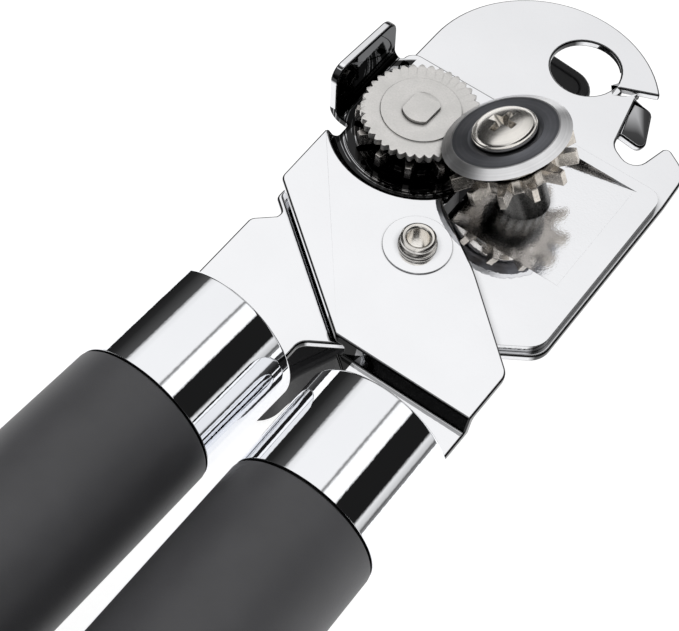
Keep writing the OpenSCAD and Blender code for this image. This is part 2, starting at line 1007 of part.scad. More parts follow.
upper_arm();
lower_arm();
cutter_plate();
pivot_rivet();
pivot_washer();
drive_wheel();
drive_gear();
drive_washer();
drive_shaft();
shaft_bushing();
spring_washer();
knob();
knob_screw();
knob_cap();
cutting_wheel();
cutter_collar();
cutter_gear();
cutter_washer();
cutter_stud();
cutter_screw();
ferrule(left_x, left_lean);  // left_ferrule
ferrule(right_x, right_lean);  // right_ferrule
core(left_x, left_lean);  // left_core
core(right_x, right_lean);  // right_core
grip(left_x, left_lean);  // left_grip
grip(right_x, right_lean);  // right_grip
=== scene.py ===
"""Looks of the manual can opener: chrome arms and ferrules, steel gears and cutter, satin black grips."""
import json
import math

import bmesh
import bpy
from mathutils import Matrix, Vector


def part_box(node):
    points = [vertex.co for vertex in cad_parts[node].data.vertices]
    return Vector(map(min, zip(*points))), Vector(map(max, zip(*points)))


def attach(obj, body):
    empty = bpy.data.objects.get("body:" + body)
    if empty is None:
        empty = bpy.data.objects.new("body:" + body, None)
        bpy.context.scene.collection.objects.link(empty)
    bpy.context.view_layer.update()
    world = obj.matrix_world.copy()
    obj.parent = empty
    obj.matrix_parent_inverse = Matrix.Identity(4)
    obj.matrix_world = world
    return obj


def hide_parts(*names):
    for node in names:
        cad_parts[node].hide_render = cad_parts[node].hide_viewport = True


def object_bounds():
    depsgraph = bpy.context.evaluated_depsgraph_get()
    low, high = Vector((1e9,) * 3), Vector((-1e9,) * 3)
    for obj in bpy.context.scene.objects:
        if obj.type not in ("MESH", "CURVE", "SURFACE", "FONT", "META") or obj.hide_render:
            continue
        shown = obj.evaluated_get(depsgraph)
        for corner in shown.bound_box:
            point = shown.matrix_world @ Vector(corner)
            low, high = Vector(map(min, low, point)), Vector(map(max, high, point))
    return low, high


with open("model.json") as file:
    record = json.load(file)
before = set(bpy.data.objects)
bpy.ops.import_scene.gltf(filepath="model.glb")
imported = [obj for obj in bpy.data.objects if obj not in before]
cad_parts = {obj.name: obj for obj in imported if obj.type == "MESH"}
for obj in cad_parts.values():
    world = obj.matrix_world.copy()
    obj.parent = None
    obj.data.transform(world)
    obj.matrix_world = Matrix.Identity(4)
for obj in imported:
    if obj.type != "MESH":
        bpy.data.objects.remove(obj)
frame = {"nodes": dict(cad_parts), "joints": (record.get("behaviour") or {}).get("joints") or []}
CAD_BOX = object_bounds()
MM = 0.001


# ---- camera ----------------------------------------------------------------------------------------------

CAMERA_TARGET = Vector((-1.87, -18.16, 0)) * MM
CAMERA_AZIMUTH = math.radians(30.7)
CAMERA_ELEVATION = math.radians(56.1)
CAMERA_ROLL = math.radians(6.2)
CAMERA_DISTANCE = 300 * MM
CAMERA_LENS = 104.93
CAMERA_SENSOR = 36


def add_camera():
    az, el, roll = CAMERA_AZIMUTH, CAMERA_ELEVATION, CAMERA_ROLL
    ahead = Vector((-math.sin(az) * math.cos(el), math.cos(az) * math.cos(el), -math.sin(el)))
    level = Vector((math.cos(az), math.sin(az), 0))
    top = level.cross(ahead)
    right = level * math.cos(roll) + top * math.sin(roll)
    up = top * math.cos(roll) - level * math.sin(roll)
    place = Matrix((right, up, -ahead)).transposed().to_4x4()
    place.translation = CAMERA_TARGET - ahead * CAMERA_DISTANCE
    data = bpy.data.cameras.new("view")
    data.lens = CAMERA_LENS
    data.sensor_width = CAMERA_SENSOR
    data.clip_start = 0.01
    camera = bpy.data.objects.new("view", data)
    camera.matrix_world = place
    bpy.context.scene.collection.objects.link(camera)
    bpy.context.scene.camera = camera


# ---- node helpers ----------------------------------------------------------------------------------------

def add(tree, kind, **settings):
    """New shader node, with the given attributes set."""
    made = tree.nodes.new(kind)
    for key, value in settings.items():
        setattr(made, key, value)
    return made


def split_xyz(tree, vector):
    made = add(tree, "ShaderNodeSeparateXYZ")
    tree.links.new(vector, made.inputs[0])
    return made.outputs


def feed(tree, place, value):
    """Give a node's input a value, or link a socket to it."""
    if isinstance(value, bpy.types.NodeSocket):
        tree.links.new(value, place)
    else:
        place.default_value = value


def math_node(tree, operation, *values):
    made = add(tree, "ShaderNodeMath", operation=operation)
    for place, value in zip(made.inputs, values):
        feed(tree, place, value)
    return made.outputs[0]


def flat_radius(tree, split):
    """Distance from the Z axis."""
    squares = [math_node(tree, "MULTIPLY", split[axis], split[axis]) for axis in ("X", "Y")]
    return math_node(tree, "SQRT", math_node(tree, "ADD", *squares))


def ramp(tree, factor, stops):
    """Colour ramp through (position, grey or colour) stops."""
    made = add(tree, "ShaderNodeValToRGB")
    elements = made.color_ramp.elements
    while len(elements) < len(stops):
        elements.new(0.5)
    for element, (position, colour) in zip(elements, stops):
        element.position = position
        shade = (colour,) * 3 if isinstance(colour, (int, float)) else colour
        element.color = (*shade, 1)
    tree.links.new(factor, made.inputs[0])
    return made.outputs[0]


def noise(tree, coords, scale, detail=2.0, rough=0.5):
    made = add(tree, "ShaderNodeTexNoise")
    made.inputs["Scale"].default_value = scale
    made.inputs["Detail"].default_value = detail
    made.inputs["Roughness"].default_value = rough
    tree.links.new(coords, made.inputs["Vector"])
    return made.outputs["Fac"]


def stretched(tree, coords, scale, turn):
    made = add(tree, "ShaderNodeMapping")
    made.inputs["Scale"].default_value = scale
    made.inputs["Rotation"].default_value = turn
    tree.links.new(coords, made.inputs["Vector"])
    return made.outputs[0]


def bump(tree, height, distance, before=None):
    made = add(tree, "ShaderNodeBump")
    made.inputs["Distance"].default_value = distance
    made.inputs["Strength"].default_value = 1
    tree.links.new(height, made.inputs["Height"])
    if before is not None:
        tree.links.new(before, made.inputs["Normal"])
    return made.outputs[0]


def start_material(name):
    mat = bpy.data.materials.new(name)
    mat.use_nodes = True
    tree = mat.node_tree
    shader = tree.nodes["Principled BSDF"]
    coords = add(tree, "ShaderNodeTexCoord").outputs["Object"]
    return mat, tree, shader, coords


def between(tree, factor, low, high):
    """Value that runs from low to high as factor runs from 0 to 1."""
    made = add(tree, "ShaderNodeMapRange")
    made.inputs["To Min"].default_value = low
    made.inputs["To Max"].default_value = high
    tree.links.new(factor, made.inputs["Value"])
    return made.outputs[0]


def mix_colour(tree, factor, first, second):
    """Colour that runs from first to second; each is a socket or a plain colour."""
    made = add(tree, "ShaderNodeMix", data_type="RGBA")
    for place, value in zip((made.inputs[0], *made.inputs[6:8]), (factor, first, second)):
        feed(tree, place, value)
    return made.outputs[2]


def multiply(tree, first, second):
    made = add(tree, "ShaderNodeMix", data_type="RGBA", blend_type="MULTIPLY")
    made.inputs[0].default_value = 1
    tree.links.new(first, made.inputs[6])
    tree.links.new(second, made.inputs[7])
    return made.outputs[2]


def painted_crevice_shade(tree, colour, distance):
    """Painted shade: darken a colour where other surfaces stand close by."""
    near = add(tree, "ShaderNodeAmbientOcclusion", samples=8)
    near.inputs["Distance"].default_value = distance
    share = ramp(tree, near.outputs["AO"], [(0.3, 0.12), (0.85, 1.0)])
    return multiply(tree, colour, share)


# ---- materials -------------------------------------------------------------------------------------------

DRIVE_AXIS = Vector((-13.4, 19.8, 0)) * MM
DROP_RADIUS = 15.6 * MM
DROP_START = -0.12 * MM
# The painted shade in the drop lies on the near side of the first line and on the tab side of the second.
DROP_NEAR_Y = 5 * MM
DROP_TAB_X = -9 * MM
RING_SCALE = 2600
RING_WAVER = 0.0006
# The notch beside the fold to the right tang.
NOTCH_X = 3.6 * MM
NOTCH_NEAR_Y = -25 * MM
NOTCH_FAR_Y = -19 * MM
NOTCH_TOP = -0.15 * MM
RAMP_LEVEL = -1.62 * MM
# Painted light and shade on the plate by how far its surface faces up or down: a painted highlight along the
# middle of the sheared side, painted shade on the rolled edges, a painted grey tone for the bent flap of the
# claw, and the full tone on the flats.
PAINTED_EDGE_TONES = [
    (0.12, 0.85), (0.28, 0.05), (0.895, 0.05), (0.905, 0.6), (0.92, 0.6), (0.93, 0.05), (0.97, 0.05),
    (0.988, 1.0)]


def plate_edges(tree, colour):
    """Plated sheet: painted shade on the rolled edges, and on the sheared sides towards +X."""
    split = split_xyz(tree, add(tree, "ShaderNodeTexCoord").outputs["Normal"])
    upright = math_node(tree, "ABSOLUTE", split["Z"])
    line = ramp(tree, upright, PAINTED_EDGE_TONES)
    right = ramp(tree, split["X"], [(0.55, 1.0), (0.75, 0.06)])
    return multiply(tree, multiply(tree, colour, line), right)


def drop_shadow(tree, coords, colour):
    """Inside of the round drop: painted shade, nearly black, broken by thin bright rings round the drive
    axis.
    """
    middle = add(tree, "ShaderNodeVectorMath", operation="SUBTRACT")
    tree.links.new(coords, middle.inputs[0])
    middle.inputs[1].default_value = DRIVE_AXIS
    split = split_xyz(tree, middle.outputs[0])
    radius = flat_radius(tree, split)
    inside = math_node(tree, "LESS_THAN", radius, DROP_RADIUS)
    below = math_node(tree, "LESS_THAN", split["Z"], DROP_START)
    joined = add(tree, "ShaderNodeCombineXYZ")
    tree.links.new(radius, joined.inputs["X"])
    broken = math_node(tree, "MULTIPLY", noise(tree, coords, 120, 2), RING_WAVER)
    tree.links.new(broken, joined.inputs["Y"])
    pattern = noise(tree, joined.outputs[0], RING_SCALE, 1)
    rings = ramp(tree, pattern, [(0.56, 0.03), (0.62, 0.9), (0.68, 0.05)])
    near_side = math_node(tree, "LESS_THAN", split["Y"], DROP_NEAR_Y)
    tab_side = math_node(tree, "LESS_THAN", split["X"], DROP_TAB_X)
    shaded = math_node(tree, "MAXIMUM", near_side, tab_side)
    share = math_node(tree, "MULTIPLY", math_node(tree, "MULTIPLY", inside, below), shaded)
    ring_shaded = multiply(tree, colour, rings)
    return mix_colour(tree, share, colour, ring_shaded)


def fold_shadow(tree, coords, colour):
    """The notch beside the fold to the tang faces the dark gap between the handles."""
    split = split_xyz(tree, coords)
    share = math_node(tree, "LESS_THAN", split["X"], NOTCH_X)
    sides = [
        ("Y", "LESS_THAN", NOTCH_FAR_Y),
        ("Y", "GREATER_THAN", NOTCH_NEAR_Y),
        ("Z", "LESS_THAN", NOTCH_TOP)]
    for axis, sign, limit in sides:
        share = math_node(tree, "MULTIPLY", share, math_node(tree, sign, split[axis], limit))
    return mix_colour(tree, share, colour, (0.03, 0.03, 0.03, 1))


def chrome(name, waviness, tint=(0.95, 0.955, 0.975), sheet=False, drop=False, pressed_ramp=False):
    """Bright nickel-chrome plate: mirror with long waves, fine orange peel and polishing haze."""
    mat, tree, shader, coords = start_material(name)
    haze = noise(tree, coords, 90, 3)
    scratches = noise(tree, stretched(tree, coords, (2600, 160, 160), (0, 0, 0.5)), 1, 2)
    both = math_node(tree, "MULTIPLY", haze, scratches)
    rough = between(tree, both, 0.012, 0.05)
    plated = ramp(tree, haze, [(0.3, tuple(0.975 * c for c in tint)), (0.7, tint)])
    # Sheets get painted light and shade on their edges; the drop and the notch get painted shade.
    if sheet:
        plated = plate_edges(tree, plated)
    if drop:
        plated = fold_shadow(tree, coords, drop_shadow(tree, coords, plated))
    waves = bump(tree, noise(tree, coords, 55, 1), 0.00007 * waviness)
    peel = bump(tree, noise(tree, coords, 1500, 1), 0.0000035, before=waves)
    if pressed_ramp:
        pressed = math_node(tree, "LESS_THAN", split_xyz(tree, coords)["Z"], RAMP_LEVEL)
        speckle = math_node(tree, "MULTIPLY", noise(tree, coords, 3000, 2, 0.7), pressed)
        peel = bump(tree, speckle, 0.000014, before=peel)
        rough = math_node(tree, "ADD", rough, math_node(tree, "MULTIPLY", pressed, 0.015))
    tree.links.new(rough, shader.inputs["Roughness"])
    # Painted shade in the crevices within 2 mm of other surfaces.
    tree.links.new(painted_crevice_shade(tree, plated, 2 * MM), shader.inputs["Base Color"])
    tree.links.new(peel, shader.inputs["Normal"])
    shader.inputs["Metallic"].default_value = 1
    return mat


def steel(name, light, dark, roughness, grain_scale, grain_depth, turned=False, crevice_shade_reach=3.0):
    """Bare steel with a grained surface; turned pieces carry rings round their own Z axis."""
    mat, tree, shader, coords = start_material(name)
    if turned:
        split = split_xyz(tree, coords)
        joined = add(tree, "ShaderNodeCombineXYZ")
        tree.links.new(flat_radius(tree, split), joined.inputs["X"])
        tree.links.new(split["Z"], joined.inputs["Y"])
        grain = noise(tree, joined.outputs[0], grain_scale, 3, 0.6)
    else:
        grain = noise(tree, coords, grain_scale, 3, 0.6)
    blotch = noise(tree, coords, 260, 2)
    mixed = math_node(tree, "MULTIPLY", grain, blotch)
    bare = ramp(tree, mixed, [(0.12, dark), (0.4, light)])
    # Painted shade in the crevices, reaching the given distance in mm.
    tree.links.new(painted_crevice_shade(tree, bare, crevice_shade_reach * MM), shader.inputs["Base Color"])
    tree.links.new(between(tree, grain, *roughness), shader.inputs["Roughness"])
    tree.links.new(bump(tree, grain, grain_depth), shader.inputs["Normal"])
    shader.inputs["Metallic"].default_value = 1
    return mat


def plastic(name, base, lighter, rough, grain_depth, grain_scale=3800, gloss=0.5, speckled=False):
    """Moulded black plastic with a fine spark-eroded grain, which a coarse one shows as specks."""
    mat, tree, shader, coords = start_material(name)
    grain = noise(tree, coords, grain_scale, 2, 0.6)
    cloud = noise(tree, coords, 120, 3)
    mottle = grain if speckled else cloud
    tree.links.new(ramp(tree, mottle, [(0.3, base), (0.75, lighter)]), shader.inputs["Base Color"])
    tree.links.new(between(tree, grain, rough - 0.07, rough + 0.07), shader.inputs["Roughness"])
    tree.links.new(bump(tree, grain, grain_depth), shader.inputs["Normal"])
    shader.inputs["Specular IOR Level"].default_value = gloss
    return mat


MATERIALS = {
    "chrome_plate": chrome("chrome_plate", 1.0, sheet=True),
    "chrome_drop": chrome("chrome_drop", 1.0, sheet=True, drop=True),
    "chrome_ramp": chrome("chrome_ramp", 1.0, sheet=True, pressed_ramp=True),
    "chrome_washer": chrome("chrome_washer", 0.6),
    "chrome_tube": chrome("chrome_tube", 0.6, (0.92, 0.93, 0.955)),
    "warm_steel": steel(
        "warm_steel", (0.9, 0.87, 0.82), (0.78, 0.75, 0.71), (0.14, 0.3), 4200, 0.000005, True, 0.8),
    "matte_steel": steel(
        "matte_steel", (0.84, 0.82, 0.8), (0.7, 0.69, 0.67), (0.32, 0.46), 3200, 0.000012),
    "bright_steel": steel(
        "bright_steel", (0.7, 0.67, 0.64), (0.42, 0.4, 0.38), (0.16, 0.34), 1800, 0.00001, crevice_shade_reach=4.0),
    "cutter_steel": steel(
        "cutter_steel", (0.74, 0.69, 0.63), (0.45, 0.42, 0.38), (0.16, 0.34), 1800, 0.00001, crevice_shade_reach=1.6),
    # Steel of the stud and washer under the cutter gear, painted dark as the shade beneath the gear.
    "under_gear_shade_steel": steel(
        "under_gear_shade_steel", (0.3, 0.29, 0.28), (0.2, 0.2, 0.19), (0.2, 0.34), 1800, 0.000008, crevice_shade_reach=8.0),
    "hardened_steel": steel(
        "hardened_steel", (0.27, 0.275, 0.3), (0.2, 0.205, 0.225), (0.3, 0.42), 2600, 0.000005, True),
    "ground_steel": steel(
        "ground_steel", (0.86, 0.86, 0.87), (0.7, 0.7, 0.71), (0.24, 0.36), 5200, 0.000004, True),
    "black_plastic": plastic(
        "black_plastic", (0.009, 0.009, 0.01), (0.014, 0.014, 0.015), 0.42, 0.00001, gloss=0.2),
    "stippled_plastic": plastic(
        "stippled_plastic", (0.05, 0.05, 0.053), (0.2, 0.2, 0.21), 0.6, 0.00005, 2400, speckled=True),
    "core_plastic": plastic(
        "core_plastic", (0.02, 0.02, 0.02), (0.03, 0.03, 0.03), 0.55, 0.00001),
    "grip_plastic": plastic(
        "grip_plastic", (0.078, 0.078, 0.083), (0.094, 0.094, 0.1), 0.5, 0.000014),
}


# ---- mesh helpers ----------------------------------------------------------------------------------------

def rounded(corners, steps=5):
    """Outline through (x, y, radius) corners, each rounded by its radius."""
    points = []
    count = len(corners)
    for i, (x, y, radius) in enumerate(corners):
        here = Vector((x, y))
        if radius == 0:
            points.append(here)
            continue
        before = (Vector(corners[i - 1][:2]) - here).normalized()
        after = (Vector(corners[(i + 1) % count][:2]) - here).normalized()
        half = before.angle(after) / 2
        middle = here + (before + after).normalized() * radius / math.sin(half)
        first = here + before * radius / math.tan(half) - middle
        last = here + after * radius / math.tan(half) - middle
        sweep = first.angle_signed(last)
        for k in range(steps + 1):
            turn = Matrix.Rotation(-sweep * k / steps, 2)
            points.append(middle + turn @ first)
    return points


def link(name, mesh, place):
    made = bpy.data.objects.new(name, mesh)
    made.matrix_world = place
    bpy.context.scene.collection.objects.link(made)
    return made


ON_AXIS = 0.0001 * MM


def lathe(name, outline, place, segments=192):
    """Closed ring or solid: the outline of (radius, height) points turned about the local Z axis."""
    shape = bmesh.new()
    rings = []
    for radius, height in outline:
        if radius < ON_AXIS:
            rings.append([shape.verts.new((0, 0, height))])
            continue
        rings.append([
            shape.verts.new((radius * math.cos(a), radius * math.sin(a), height))
            for a in (2 * math.pi * k / segments for k in range(segments))])
    for this, following in zip(rings, rings[1:] + rings[:1]):
        if len(this) == 1 and len(following) == 1:
            continue
        for k in range(segments):
            j = (k + 1) % segments
            corners = [this[k % len(this)], this[j % len(this)],
                       following[j % len(following)], following[k % len(following)]]
            shape.faces.new(list(dict.fromkeys(corners)))
    return finish_shape(name, shape, place)


def finish_shape(name, shape, place):
    bmesh.ops.recalc_face_normals(shape, faces=shape.faces)
    mesh = bpy.data.meshes.new(name)
    shape.to_mesh(mesh)
    shape.free()
    mesh.polygons.foreach_set("use_smooth", [True] * len(mesh.polygons))
    mesh.set_sharp_from_angle(angle=math.radians(20))
    return link(name, mesh, place)


WELD_GAP = 0.005 * MM
SHORTEST_EDGE = 0.35 * MM


def smooth_edges(piece, width, segments=3, angle=28, wide=False, clamp=True):
    """Small rounded edges, with flat faces kept flat in the shading.

    Wide ones would stop at the shortest edge of an outline, so the outline is thinned out first.
    Without the clamp they keep their full width even past the short edges that are left.
    """
    weld = piece.modifiers.new("weld", "WELD")
    weld.merge_threshold = WELD_GAP
    if wide:
        flat = piece.modifiers.new("flat", "DECIMATE")
        flat.decimate_type = "DISSOLVE"
        flat.angle_limit = math.radians(0.5)
        short = piece.modifiers.new("short", "WELD")
        short.merge_threshold = SHORTEST_EDGE
    edge = piece.modifiers.new("edge", "BEVEL")
    edge.width = width
    edge.segments = segments
    edge.limit_method = "ANGLE"
    edge.angle_limit = math.radians(angle)
    edge.miter_outer = "MITER_ARC"
    edge.use_clamp_overlap = clamp
    even = piece.modifiers.new("even", "WEIGHTED_NORMAL")
    even.weight = 50
    even.keep_sharp = False


def face_shading(piece):
    """Shade the large faces flat, and keep the edges marked as sharp."""
    even = piece.modifiers.new("even", "WEIGHTED_NORMAL")
    even.weight = 60
    even.keep_sharp = True


def paint(piece, slot_name):
    piece.data.materials.clear()
    piece.data.materials.append(MATERIALS[slot_name])


def stand_for(piece, node, body, slot_name):
    paint(piece, slot_name)
    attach(piece, body)
    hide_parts(node)


def axis_place(origin, direction):
    """Frame with its Z axis along a direction."""
    place = direction.to_track_quat("Z", "Y").to_matrix().to_4x4()
    place.translation = origin
    return place


def reach(node, origin, direction):
    """Lowest and highest point of a CAD node along an axis, and its largest radius about that axis."""
    low, high, radius = math.inf, -math.inf, 0.0
    for vertex in frame["nodes"][node].data.vertices:
        offset = vertex.co - origin
        along = offset.dot(direction)
        low, high = min(low, along), max(high, along)
        radius = max(radius, (offset - direction * along).length)
    return low, high, radius


JOINTS = {joint["name"]: joint for joint in frame["joints"]}


def joint_axis(name):
    joint = JOINTS[name]
    return Vector(joint["pos_m"]), Vector(joint["axis"]).normalized()


# ---- handles ---------------------------------------------------------------------------------------------

def handle_axis(side):
    ferrule_low, ferrule_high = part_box(side + "_ferrule")
    grip_low, grip_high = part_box(side + "_grip")
    near = (ferrule_low + ferrule_high) / 2
    far = (grip_low + grip_high) / 2
    return near, (far - near).normalized()


FERRULE_WALL = 0.8 * MM
GRIP_BORE = 9.92 * MM
GRIP_BORE_TO_TIP = 22 * MM
GRIP_OVER_FERRULE = 0.1 * MM
GRIP_DOME = 8 * MM
GRIP_DOME_WIDTH = 6 * MM
BELLY_STEPS = 24
DOME_STEPS = 12


def add_handle(side, body):
    origin, down = handle_axis(side)
    place = axis_place(origin, down)
    front, back, radius = reach(side + "_ferrule", origin, down)
    inner = radius - FERRULE_WALL
    tube = rounded([
        (inner, front + 0.25 * MM, 0.25 * MM),
        (radius - 0.6 * MM, front, 0.2 * MM),
        (radius, front, 0.55 * MM),
        (radius, back, 0.12 * MM),
        (inner, back, 0.1 * MM),
    ])
    ferrule = lathe(side + "_ferrule_tube", tube, place, 256)
    face_shading(ferrule)
    stand_for(ferrule, side + "_ferrule", body, "chrome_tube")

    start, end, fat = reach(side + "_grip", origin, down)
    grip = lathe(side + "_grip_sleeve", grip_outline(start, end, radius + GRIP_OVER_FERRULE, fat), place)
    face_shading(grip)
    stand_for(grip, side + "_grip", body, "grip_plastic")


def grip_outline(start, end, waist, fat):
    """Rolled rim, long belly, domed end, then the bore for the core."""
    rim = [
        (waist - 0.45 * MM, start),
        (waist - 0.2 * MM, start + 0.08 * MM),
        (waist - 0.05 * MM, start + 0.25 * MM),
        (waist, start + 0.5 * MM),
    ]
    length = end - GRIP_DOME - start
    belly = []
    for i in range(1, BELLY_STEPS):
        radius = waist + (fat - waist) * math.sin(math.pi * i / BELLY_STEPS)
        belly.append((radius, start + 0.6 * MM + length * i / BELLY_STEPS))
    tip = []
    for i in range(DOME_STEPS + 1):
        a = math.pi / 2 * i / DOME_STEPS
        radius = waist - GRIP_DOME_WIDTH + GRIP_DOME_WIDTH * math.cos(a)
        tip.append((radius, end - GRIP_DOME + GRIP_DOME * math.sin(a)))
    floor = end - GRIP_BORE_TO_TIP
    return [(GRIP_BORE, start), *rim, *belly, *tip, (0, end), (0, floor), (GRIP_BORE, floor)]


# ---- cutter ----------------------------------------------------------------------------------------------

HUB_BORE = 2.45 * MM
# Radius of the disc's flat face as a share of its whole radius; the rest is the ground bevel.
FLAT_SHARE = 0.83
COLLAR_NECK = 0.9 * MM
SCREW_HEAD = 2.3 * MM
SCREW_SHANK = 1.45 * MM
SCREW_CROWN = 0.35 * MM
SCREW_RIM = 0.95 * MM
RECESS_ARM = 2.8 * MM
RECESS_HALF_WIDTH = 0.66 * MM
RECESS_DEPTH = 1.9 * MM
RECESS_TURN = math.radians(-10)
CROWN_STEPS = 14


def add_cutter():
    origin, up = joint_axis("cutter_spin")
    place = axis_place(origin, up)
    add_disc(place, *reach("cutting_wheel", origin, up))
    add_collar(place, *reach("cutter_collar", origin, up))
    add_cutter_screw(place, *reach("cutter_screw", origin, up))


def add_disc(place, low, high, radius):
    """Hard disc with a ground bevel, and a shallow ring in its flat face."""
    flat = radius * FLAT_SHARE
    ring = high + 0.04 * MM
    outline = [
        (HUB_BORE, low), (radius - 0.6 * MM, low), (radius - 0.05 * MM, low + 0.27 * MM),
        (radius, low + 0.33 * MM), (flat + 0.1 * MM, high - 0.03 * MM), (flat - 0.15 * MM, high),
        (6.35 * MM, high), (6.2 * MM, ring), (6.0 * MM, ring), (5.85 * MM, high),
        (HUB_BORE, high)]
    disc = lathe("cutting_disc", outline, place, 256)
    face_shading(disc)
    stand_for(disc, "cutting_wheel", "cutter", "hardened_steel")
    disc.data.materials.append(MATERIALS["ground_steel"])
    for face in disc.data.polygons:
        middle = face.center
        if math.hypot(middle.x, middle.y) > flat - 0.05 * MM and middle.z > low:
            face.material_index = 1


def add_collar(place, low, high, radius):
    neck = radius - COLLAR_NECK
    outline = rounded([
        (HUB_BORE, low, 0), (neck - 0.3 * MM, low, 0.2 * MM), (neck, low + 0.3 * MM, 0.2 * MM),
        (neck, low + 1.5 * MM, 0.15 * MM), (radius, low + 1.8 * MM, 0.15 * MM),
        (radius, high - 0.25 * MM, 0.2 * MM), (radius - 0.25 * MM, high, 0.1 * MM), (HUB_BORE, high, 0)], 4)
    collar = lathe("cutter_collar_ring", outline, place)
    face_shading(collar)
    stand_for(collar, "cutter_collar", "cutter", "warm_steel")


def add_cutter_screw(place, low, high, radius):
    """Domed head with a rim and a cross recess, and a plain shank."""
    seat = high - SCREW_HEAD
    crown = radius - SCREW_CROWN
    rim = seat + SCREW_RIM
    dome = []
    for i in range(1, CROWN_STEPS + 1):
        a = math.pi / 2 * i / CROWN_STEPS
        dome.append((crown * math.cos(a), rim + (high - rim) * math.sin(a)))
    outline = [
        (0, seat), (crown, seat), (radius - 0.1 * MM, seat + 0.1 * MM), (radius, seat + 0.35 * MM),
        (radius, rim - 0.2 * MM), (radius - 0.12 * MM, rim - 0.05 * MM), (radius - 0.3 * MM, rim),
        *dome]
    head = lathe("cutter_screw_head", outline, place, 128)
    cross_recess(head, high, RECESS_ARM, RECESS_HALF_WIDTH, RECESS_DEPTH, RECESS_TURN)
    smooth_edges(head, 0.12 * MM, 2, 32)
    shank_top = seat + 0.3 * MM
    outline = [(0, low), (SCREW_SHANK, low), (SCREW_SHANK, shank_top), (0, shank_top)]
    shank = lathe("cutter_screw_shank", outline, place, 48)
    stand_for(head, "cutter_screw", "lower_arm_body", "warm_steel")
    stand_for(shank, "cutter_screw", "lower_arm_body", "warm_steel")


def cross_recess(piece, top, arm, half_width, depth, turn):
    """Cut a tapered cross into the top of a screw head, one bar at a time."""
    levels = [
        (top + 0.3 * MM, arm * 1.06, half_width * 1.05),
        (top - depth, arm * 0.35, half_width * 0.7)]
    tools = []
    for extra in (0, math.pi / 2):
        shape = bmesh.new()
        spin = Matrix.Rotation(turn + extra, 4, "Z")
        corners = []
        for level, length, width in levels:
            corners.append([
                shape.verts.new(spin @ Vector((sx * length, sy * width, level)))
                for sx, sy in ((-1, -1), (1, -1), (1, 1), (-1, 1))])
        upper, lower = corners
        shape.faces.new(upper)
        shape.faces.new(lower[::-1])
        for k in range(4):
            shape.faces.new([upper[k], lower[k], lower[(k + 1) % 4], upper[(k + 1) % 4]])
        tool = finish_shape("recess_tool", shape, piece.matrix_world)
        cut = piece.modifiers.new("recess", "BOOLEAN")
        cut.operation = "DIFFERENCE"
        cut.solver = "EXACT"
        cut.object = tool
        tools.append(tool)
    bpy.context.view_layer.update()
    result = bpy.data.meshes.new_from_object(piece.evaluated_get(bpy.context.evaluated_depsgraph_get()))
    piece.modifiers.clear()
    piece.data = result
    for tool in tools:
        bpy.data.objects.remove(tool)


# ---- knob ------------------------------------------------------------------------------------------------

KNOB_HALF_WIDTH = 7.9 * MM
KNOB_HALF_LENGTH = 46.5 * MM
KNOB_SWELL = 2.9 * MM
KNOB_CORNER = 5 * MM
KNOB_WING_Y = 38 * MM
KNOB_FLARE_Y = 29.5 * MM
KNOB_BEND = 12 * MM
KNOB_TOP = -23 * MM
KNOB_EDGE = 1.1 * MM
KNOB_SAG_RADIUS = 1500 * MM
KNOB_TURN = math.radians(-4.7)
KNOB_MIDDLE_INSET = 5.2 * MM
KNOB_ARC_STEPS = 5
KNOB_BORE = 3.15 * MM


def knob_outline(inset):
    """Bow tie: a swollen middle between two narrower wings, drawn in from its edge by an inset."""
    width = KNOB_HALF_WIDTH - inset
    belly = width + KNOB_SWELL
    end = KNOB_HALF_LENGTH - inset
    corner = max(KNOB_CORNER - inset, 1.5 * MM)
    right = [
        (width, end, corner), (width, KNOB_WING_Y, KNOB_BEND), (belly, KNOB_FLARE_Y, KNOB_BEND),
        (belly, -KNOB_FLARE_Y, KNOB_BEND), (width, -KNOB_WING_Y, KNOB_BEND), (width, -end, corner)]
    left = [(-x, -y, r) for x, y, r in right]
    return rounded(right[::-1] + left[::-1], 8)


def knob_rings(bottom):
    """Rings of the knob from its recessed top over the edge to its underside.

    Each is an inset of the outline, a height, and whether the sagging underside's curve is added to it.
    """
    rings = [
        (KNOB_MIDDLE_INSET, KNOB_TOP - 0.55 * MM, False),
        (2.5 * MM, KNOB_TOP - 0.5 * MM, False),
        (2.2 * MM, KNOB_TOP - 0.4 * MM, False),
        (2.0 * MM, KNOB_TOP - 0.1 * MM, False),
        (1.8 * MM, KNOB_TOP, False),
    ]
    turns = [math.pi / 2 * i / KNOB_ARC_STEPS for i in range(KNOB_ARC_STEPS + 1)]
    for a in turns:
        rings.append((KNOB_EDGE * (1 - math.sin(a)), KNOB_TOP - KNOB_EDGE * (1 - math.cos(a)), False))
    for a in turns:
        rings.append((KNOB_EDGE * (1 - math.cos(a)), bottom + KNOB_EDGE * (1 - math.sin(a)), True))
    rings.append((KNOB_MIDDLE_INSET, bottom, True))
    return rings


